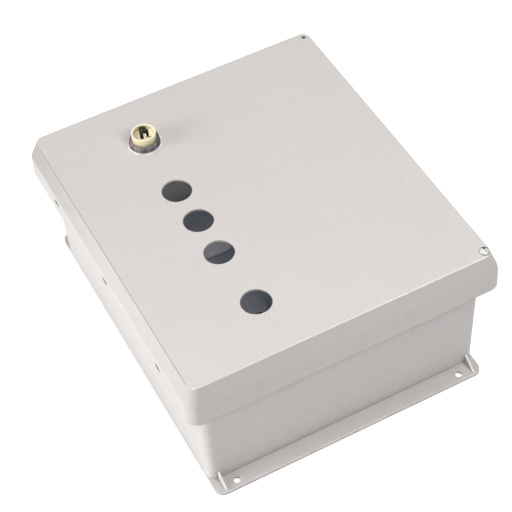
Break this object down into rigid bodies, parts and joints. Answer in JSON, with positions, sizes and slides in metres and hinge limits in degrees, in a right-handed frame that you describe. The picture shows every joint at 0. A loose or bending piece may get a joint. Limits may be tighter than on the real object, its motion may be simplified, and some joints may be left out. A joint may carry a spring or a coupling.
{
  "type": "magnetic motor starter",
  "caption": "Moulded wall box with a flared-skirt hinged cover, open operator holes and a knobless selector, holding a contactor, overload relay and control transformer.",
  "frame": {"origin": "centre of the flat back face that lies against the wall", "axes": "+Z out through the cover, +Y towards the end with the control operator, +X towards the cover fasteners, away from the hinge"},
  "size_m": [0.3358, 0.39, 0.1853],
  "materials": {
    "moulded_grp": "satin, fibre-reinforced moulding",
    "steel": "zinc plated",
    "bright_steel": "polished",
    "panel_paint": "grey enamel",
    "black_moulding": "matt phenolic",
    "arc_moulding": "matt phenolic",
    "laminations": "stacked laminations",
    "bobbin_nylon": "natural nylon",
    "winding": "taped winding",
    "paper_winding": "varnished paper",
    "brass": "plain",
    "copper": "copper bar",
    "resistance_alloy": "heat tinted",
    "rubber": "closed-cell",
    "dark_bushing": "dusty, threaded",
    "cream_nylon": "yellowed nylon",
    "red_moulding": "satin",
    "blue_moulding": "satin",
    "bakelite": "laminated sheet",
    "wire_vinyl": "vinyl",
    "green_screw": "dyed"
  },
  "bodies": {
    "base": {"enclosure_base": "moulded_grp", "back_panel": "panel_paint", "panel_screws": "steel", "hinge_brackets": "steel", "hinge_bracket_screws": "steel", "hinge_pins": "steel", "fastener_receptacles": "steel", "ground_lug": "brass", "ground_lug_screw": "green_screw", "magnet_housing": "black_moulding", "contact_housing": "black_moulding", "arc_cover": "arc_moulding", "arc_cover_screws": "steel", "contactor_mounting_screws": "steel", "fixed_core": "laminations", "coil_bobbin": "bobbin_nylon", "coil_winding": "winding", "coil_terminals": "brass", "line_contacts": "copper", "load_contacts": "copper", "terminal_screws": "steel", "carrier_guide_pins": "steel", "return_spring": "steel", "auxiliary_contact_block": "black_moulding", "bus_straps": "copper", "overload_housing": "black_moulding", "overload_mounting_screws": "steel", "heater_elements": "resistance_alloy", "heater_screws": "steel", "bimetal_strips": "resistance_alloy", "overload_load_terminals": "copper", "overload_switch": "brass", "reset_spring": "steel", "transformer_core": "laminations", "transformer_winding": "paper_winding", "transformer_bracket": "steel", "transformer_terminals": "black_moulding", "transformer_screws": "steel", "terminal_block": "black_moulding", "terminal_block_screws": "steel", "control_wires": "wire_vinyl"},
    "cover": {"cover": "moulded_grp", "cover_gasket": "rubber", "hinge_leaves": "steel", "operator_bushing": "dark_bushing", "operator_washer": "bright_steel", "operator_ring_nut": "steel", "operator_gasket": "rubber", "operator_contact_block": "black_moulding", "operator_terminals": "brass"},
    "selector": {"selector_rotor": "cream_nylon"},
    "plungers": {"operator_plungers": "red_moulding"},
    "fastener": {"cover_fastener": "bright_steel", "fastener_retainer": "bobbin_nylon"},
    "armature_unit": {"armature": "laminations", "contact_carrier": "red_moulding", "moving_contacts": "copper", "contact_springs": "steel"},
    "trip_bar": {"trip_bar": "bakelite"},
    "reset": {"reset_button": "blue_moulding"}
  },
  "joints": [
    {"name": "cover_hinge", "type": "hinge", "parent": "base", "child": "cover", "pos_m": [-0.1606, 0, 0.127], "axis": [0, -1, 0], "range_deg": [0, 110]},
    {"name": "selector_turn", "type": "hinge", "parent": "cover", "child": "selector", "pos_m": [-0.063, 0.12, 0.17], "axis": [0, 0, 1], "range_deg": [0, 60]},
    {"name": "plunger_push", "type": "slide", "parent": "cover", "child": "plungers", "axis": [0, 0, 1], "range_m": [-0.002, 0]},
    {"name": "fastener_turn", "type": "hinge", "parent": "cover", "child": "fastener", "pos_m": [0.1538, -0.1778, 0.165], "axis": [0, 0, 1], "range_deg": [0, 90]},
    {"name": "armature_stroke", "type": "slide", "parent": "base", "child": "armature_unit", "axis": [0, 0, 1], "range_m": [-0.0048, 0], "stiffness_N_per_m": 900, "springref_m": 0.006, "deforming": ["return_spring"]},
    {"name": "trip_slide", "type": "slide", "parent": "base", "child": "trip_bar", "axis": [-1, 0, 0], "range_m": [0, 0.003]},
    {"name": "reset_push", "type": "slide", "parent": "base", "child": "reset", "axis": [0, 0, -1], "range_m": [0, 0.0028], "stiffness_N_per_m": 400, "springref_m": -0.004, "deforming": ["reset_spring"]}
  ],
  "couplings": [
    {"joint": "plunger_push", "follows": "selector_turn", "m_per_rad": -0.0019097}
  ]
}
